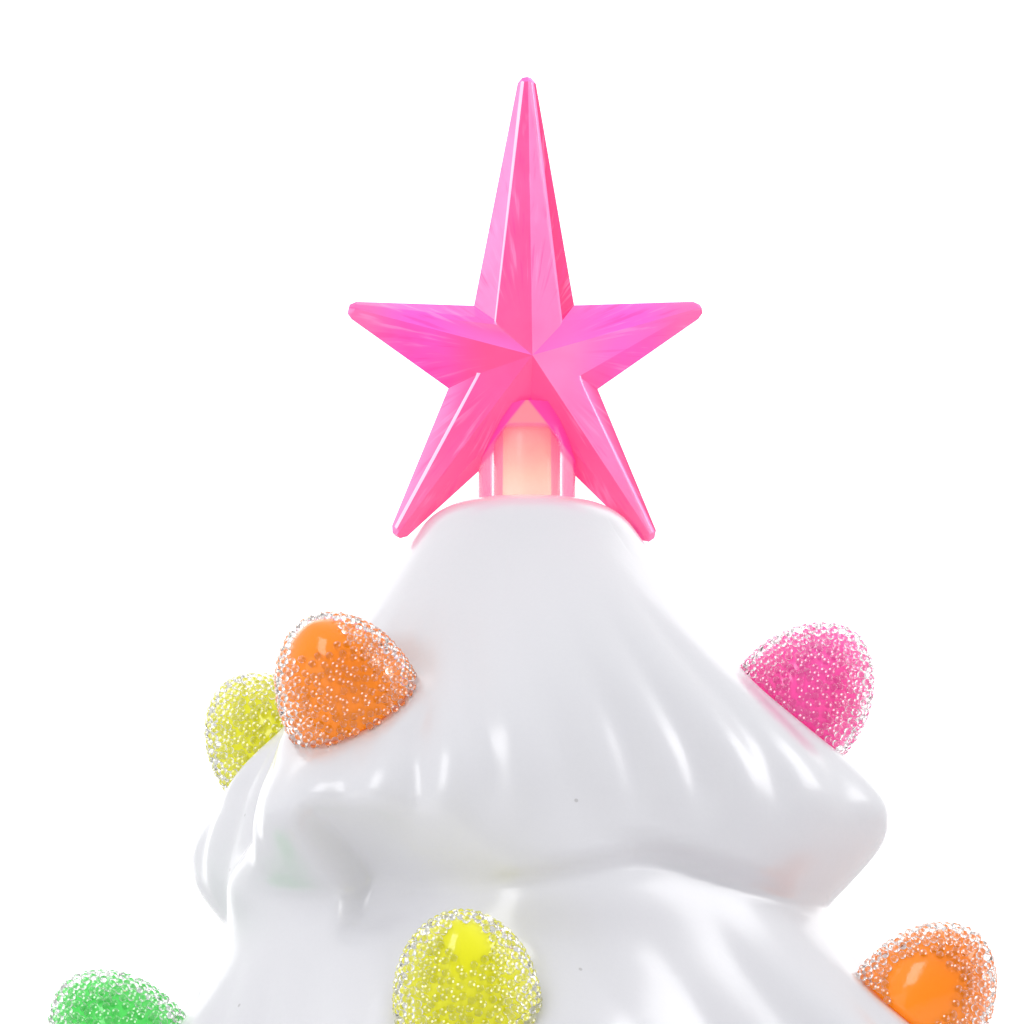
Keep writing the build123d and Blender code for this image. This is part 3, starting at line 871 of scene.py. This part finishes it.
# %% [markdown]
# A small bevel catches light along the shoulders, where the front facets meet the side facets of the
# upright arm and of the legs. An edge is a shoulder if it bulges by a middling angle and runs more up
# than across. Its weight tells the modifier to bevel it. The bevel takes the second of three finishes:
# facets, edges and collar.

# %% Bevel the star's shoulders
for empty_slot in range(3):
    star.data.materials.append(None)
sides = {}
for face in star.data.polygons:
    for edge_key in face.edge_keys:
        sides.setdefault(edge_key, []).append(face)
weights = star.data.attributes.new("bevel_weight_edge", "FLOAT", "EDGE")
for edge in star.data.edges:
    low, high = [star.data.vertices[corner].co for corner in edge.vertices]
    first, second = sides[edge.key]
    turn = math.degrees(first.normal.angle(second.normal))
    bulges = (second.center - first.center).dot(first.normal) < 0
    is_steep = abs(low.z - high.z) > max(abs(low.x - high.x), 4.0 * mm)
    is_shoulder = bulges and 20 < turn < 42 and is_steep and max(low.z, high.z) > collar_top
    weights.data[edge.index].value = 1.0 if is_shoulder else 0.0
edge_round = star.modifiers.new("edge_round", "BEVEL")
edge_round.width = 0.30 * mm
edge_round.segments = 3
edge_round.limit_method = "WEIGHT"
edge_round.material = 1
bpy.ops.object.modifier_apply(modifier="edge_round")
bpy.ops.object.shade_smooth_by_angle(angle=math.radians(25))
print("star faces", len(star.data.polygons))

# %% [markdown]
# The plastic glows hot pink. Light and shade are painted onto its facets by the way they face: facets that
# face left take painted light and are pale, those that face a little to the right are painted a little
# lighter, those that face far right take painted shade and are deep, and those that face down take a
# painted rosy shade. A thin iridescent coat turns the arms violet, and whatever faces up takes a painted
# violet sheen. The ends of the arms are rosier. The way that a facet faces is its normal, so the painted
# light and shade stay put on the star whatever the view. Each share says how much of a tint a point takes.

# %% Star tints
star_pink = Finish("star_pink", IOR=1.46, Roughness=0.16, Specular_IOR_Level=0.15, Transmission_Weight=0.15,
                   Coat_Weight=0.1, Coat_Roughness=0.08, Emission_Strength=0.27)
star_normal = star_pink.place("Normal")
rightward = star_pink.node("ShaderNodeSeparateXYZ", {}, {0: star_normal}, output=0)
upward = star_pink.node("ShaderNodeSeparateXYZ", {}, {0: star_normal}, output=2)
# painted light and shade by facing: pale on left faces, lighter on slightly right faces, deep shade on far
# right faces, rosy shade on down faces, violet sheen on up faces
painted_light_left = star_pink.between(0.0 - rightward, 0.50, 0.70)
light = star_pink.between(rightward, 0.36, 0.52)
deep = star_pink.between(rightward, 0.74, 0.86)
painted_shade_under = star_pink.between(0.0 - upward, 0.20, 0.36)
painted_sheen_up = star_pink.between(upward, 0.25, 0.50)
sideways = star_pink.node("ShaderNodeSeparateXYZ", {}, {0: star_pink.place()}, output=0)
off_middle = star_pink.node("ShaderNodeMath", {"operation": "ABSOLUTE"}, {0: sideways})
in_arms = star_pink.between(star_pink.height(), 0.268, 0.277)
arms = star_pink.between(off_middle, 0.005, 0.014) * in_arms
ends = star_pink.between(off_middle, 0.016, 0.023) * in_arms
ends = ends + (1.0 - star_pink.between(star_pink.height(), 0.254, 0.268))
print("nodes for the tints", len(star_pink.tree.nodes))

# %% [markdown]
# Plastic flows from the middle of a mould to the ends of its arms, and leaves streaks that run that way.
# Here they are a noise that is read in bearing and distance, and that changes faster round the middle
# than away from it. They fade close to the middle, where they would crowd together.

# %% Star streaks
flow_height = 278.0 * mm
above_middle = star_pink.height() - flow_height
bearing = star_pink.node("ShaderNodeMath", {"operation": "ARCTAN2"}, {0: sideways, 1: above_middle})
outwards = star_pink.node("ShaderNodeVectorMath", {"operation": "DISTANCE"},
                          {0: star_pink.place(), 1: Vector((0, 0, flow_height))}, output=1)
flow_place = star_pink.node("ShaderNodeCombineXYZ", {}, {0: 19.0 * bearing, 1: 110.0 * outwards})
flow = star_pink.node("ShaderNodeTexNoise", {}, {"Vector": flow_place, "Scale": 1.0, "Detail": 3.0})
flow_share = 0.34 * star_pink.between(outwards, 0.007, 0.015)
flow_light = star_pink.between(flow, 0.54, 0.70) * flow_share
flow_dark = star_pink.between(flow, 0.46, 0.32) * flow_share
print("streaks added, nodes", len(star_pink.tree.nodes))

# %% [markdown]
# The tints, the painted light, shade and sheen among them, are laid over the plain pink one by one, and the
# streaks last. A mottle keeps each from being flat.

# %% Star plastic
mottle = star_pink.noise(130.0, 4.0)
star_colour = star_pink.mix(mottle, screen(252, 74, 142), screen(255, 104, 170))
# the tints chosen by facing are painted light, painted shade and a painted violet sheen; the arm, end and
# streak tints are the plastic's own
tints = (
    (light, star_pink.mix(mottle, screen(255, 116, 182), screen(255, 148, 208))),
    (painted_shade_under * 0.7, screen(252, 84, 144)),
    (painted_sheen_up * 0.6, screen(252, 126, 226)),
    (arms * (0.2 + 0.6 * mottle), screen(250, 88, 218)),
    (ends * (0.4 + 0.5 * mottle), screen(244, 122, 172)),
    (deep, screen(238, 36, 124)),
    (painted_light_left * (0.5 + 0.5 * mottle), screen(250, 164, 222)),
    (flow_light, screen(255, 176, 228)),
    (flow_dark, screen(236, 44, 150)),
)
for tint_share, tint in tints:
    star_colour = star_pink.mix(tint_share, star_colour, tint)
star_pink.feed(Base_Color=star_colour, Emission_Color=star_colour)
star_pink.feed(Normal=star_pink.bump(star_pink.noise(260.0), 0.00005))
star.data.materials[0] = star_pink.material
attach(star, "star")
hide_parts("star")
print("star nodes", len(star_pink.tree.nodes))

# %% [markdown]
# Edges of clear plastic pipe light along themselves, so the bevelled edges get a paler, glossier pink, and
# a painted highlight makes them almost white where they face the lamps.

# %% Star edges
edge_pink = Finish("star_edge", Roughness=0.10, Coat_Weight=1.0, Coat_Roughness=0.03,
                   Emission_Strength=0.35)
edge_left = edge_pink.node("ShaderNodeSeparateXYZ", {}, {0: edge_pink.place("Normal")}, output=0)
# painted highlight: edges that face left, towards the lamps, turn almost white
edge_painted_highlight = edge_pink.between(0.0 - edge_left, 0.15, 0.60) * (0.5 + 0.5 * edge_pink.noise(220.0))
edge_colour = edge_pink.mix(edge_painted_highlight, screen(255, 122, 196), screen(255, 226, 246))
edge_pink.feed(Base_Color=edge_colour, Emission_Color=edge_colour)
star.data.materials[1] = edge_pink.material
print("edge faces", sum(face.material_index == 1 for face in star.data.polygons))

# %% [markdown]
# The collar under the star is thin and clear, so the lit rod shows through it between the star's legs, in
# the shape of a peak. Outside the peak, and above the rod, the plastic is as thick as the star. Its faces
# are found by place: near the axis and below the middle of the star.

# %% Star collar
peak_top = 272.2 * mm
peak_slope = 0.79
rod_end = 268.0 * mm
collar_clear = Finish("collar_clear", IOR=1.4, Specular_IOR_Level=0.25, Emission_Strength=0.30)
sideways = collar_clear.node("ShaderNodeSeparateXYZ", {}, {0: collar_clear.place()}, output=0)
off_middle = collar_clear.node("ShaderNodeMath", {"operation": "ABSOLUTE"}, {0: sideways})
peak = (peak_top - collar_clear.height()) * peak_slope - off_middle
in_peak = collar_clear.between(peak, -0.0003, 0.0003)
above_rod = collar_clear.between(collar_clear.height(), rod_end, rod_end + mm)
steepness = collar_clear.node("ShaderNodeLayerWeight", {}, {"Blend": 0.5}, output=1)
collar_glow = collar_clear.mix(above_rod, screen(255, 150, 190), screen(255, 138, 150))
wall_share = collar_clear.between(steepness, 0.27, 0.36)
rim_share = collar_clear.between(steepness, 0.62, 0.80)
wall_colour = collar_clear.mix(rim_share, screen(248, 122, 172), screen(236, 60, 130))
collar_colour = collar_clear.mix(wall_share, collar_glow, wall_colour)
collar_colour = collar_clear.mix(in_peak, screen(252, 70, 160), collar_colour)
collar_clear.feed(Base_Color=collar_colour, Emission_Color=collar_colour)
collar_clear.feed(Roughness=0.10 + 0.40 * above_rod)
thin = in_peak * (1.0 - above_rod)
collar_clear.feed(Alpha=1.0 - thin * (0.92 - 0.62 * wall_share))
star.data.materials[2] = collar_clear.material
collar_faces = 0
for face in star.data.polygons:
    radius = math.hypot(face.center.x, face.center.y)
    if radius < 7.0 * mm and face.center.z < collar_top and abs(face.normal.z) < 0.3:
        face.material_index = 2
        collar_faces += 1
print("collar faces", collar_faces)

# %% [markdown]
# The rod in the collar carries the lamp's light up into the star: peach where it enters the star, almost
# warm white at the crown. It is turned on the wheel with rounded ends.

# %% Glowing rod
rod_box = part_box("star_light_guide")
rod_low = rod_box[0][2] / mm
rod_high = rod_box[1][2] / mm
rod_outline = [(0.0, rod_low), (4.0, rod_low), (4.4, rod_low + 0.15), (4.55, rod_low + 0.5)]
rod_outline += [(4.55, rod_high - 0.8), (4.3, rod_high - 0.3), (3.8, rod_high), (0.0, rod_high)]
rod = turn_on_wheel("glowing_rod", rod_outline, 48)
rod_glow = Finish("light_guide", Roughness=0.25, Emission_Strength=0.70)
rod_rise = rod_glow.height() + 0.004 * (rod_glow.noise(180.0, 3.0) - 0.5)
glow_from = 257.5 * mm
glow_length = 11.5 * mm
warm_stops = [(0.0, screen(255, 216, 186)), (0.35, screen(255, 192, 162))]
warm_stops += [(0.70, screen(255, 160, 142)), (1.0, screen(255, 138, 136))]
warm = rod_glow.node("ShaderNodeValToRGB", {"stops": warm_stops}, {0: (rod_rise - glow_from) / glow_length})
rod_glow.feed(Base_Color=warm, Emission_Color=warm)
wear(rod, rod_glow)
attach(rod, "star")
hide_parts("star_light_guide")
print("rod from", round(rod_low, 1), "to", round(rod_high, 1), "mm")

# %% [markdown]
# What the base hides keeps its solids, and each gets a finish of its own: moulded white plastic with a
# spark-eroded grain, soft rubber, plain cell wraps, plated contacts, boards and lamp. A helper builds
# those that differ only in colour, gloss and grain.

# %% Hidden finishes
def moulded(name, dark, light, gloss, grain_per_metre, grain_depth):
    """Moulded or coated part: clouded colour, uneven gloss and a fine grain."""
    finish = Finish(name)
    finish.feed(Base_Color=finish.mix(finish.noise(120.0, 3.0), dark, light))
    finish.feed(Roughness=gloss + 0.12 * finish.noise(240.0))
    finish.feed(Normal=finish.bump(finish.noise(grain_per_metre, 3.0), grain_depth))
    return finish


# dark colour, light colour, gloss, grain per metre and its depth in metres
moulded_looks = {
    "base_plastic": (screen(226, 226, 224), screen(236, 236, 233), 0.42, 2600.0, 0.00004),
    "foot_rubber": (screen(205, 205, 202), screen(222, 222, 219), 0.70, 1800.0, 0.00006),
    "switch_plastic": (screen(40, 40, 42), screen(58, 58, 60), 0.40, 2200.0, 0.00004),
    "board_green": (screen(24, 92, 54), screen(34, 118, 70), 0.35, 900.0, 0.00003),
    "board_white": (screen(232, 234, 232), screen(244, 245, 243), 0.35, 900.0, 0.00003),
    "lead_insulation": (screen(170, 28, 24), screen(196, 40, 34), 0.45, 1500.0, 0.00002),
    "contact_metal": (screen(178, 178, 176), screen(206, 205, 200), 0.22, 1400.0, 0.00002),
}
finish_of = {name: moulded(name, *look) for name, look in moulded_looks.items()}
finish_of["contact_metal"].shader.inputs["Metallic"].default_value = 1.0
print("hidden finishes", len(finish_of))

# %% [markdown]
# A cell has a plain dark wrap that turns coppery towards one end. The parting follows the cell's length,
# which lies along X.

# %% Cell wrap
cell_wrap = Finish("cell_wrap", Coat_Weight=0.3)
along = cell_wrap.node("ShaderNodeSeparateXYZ", {}, {0: cell_wrap.place()}, output=0)
copper = cell_wrap.between(along, 0.0095, 0.0100)
wrap_clouds = cell_wrap.noise(150.0)
wrap = cell_wrap.mix(wrap_clouds, screen(34, 36, 40), screen(48, 50, 54))
cell_wrap.feed(Base_Color=cell_wrap.mix(copper, wrap, screen(176, 120, 72)))
cell_wrap.feed(Roughness=0.28 + 0.10 * wrap_clouds)
finish_of["cell_wrap"] = cell_wrap

# %% [markdown]
# The lamp's chips are yellow phosphor under clear resin, and they glow. With them every finish is there,
# and each solid that still shows puts on the one that its slot names.

# %% Lamp chips
lamp_glow = Finish("led_warm", Roughness=0.3, Emission_Strength=2.0)
phosphor = lamp_glow.mix(lamp_glow.noise(700.0), screen(255, 214, 120), screen(255, 236, 170))
lamp_glow.feed(Base_Color=phosphor, Emission_Color=phosphor)
finish_of["led_warm"] = lamp_glow
dressed = 0
for name, solid in nodes.items():
    if slot_of[name] in finish_of:
        wear(solid, finish_of[slot_of[name]])
        dressed += 1
print("solids dressed", dressed)
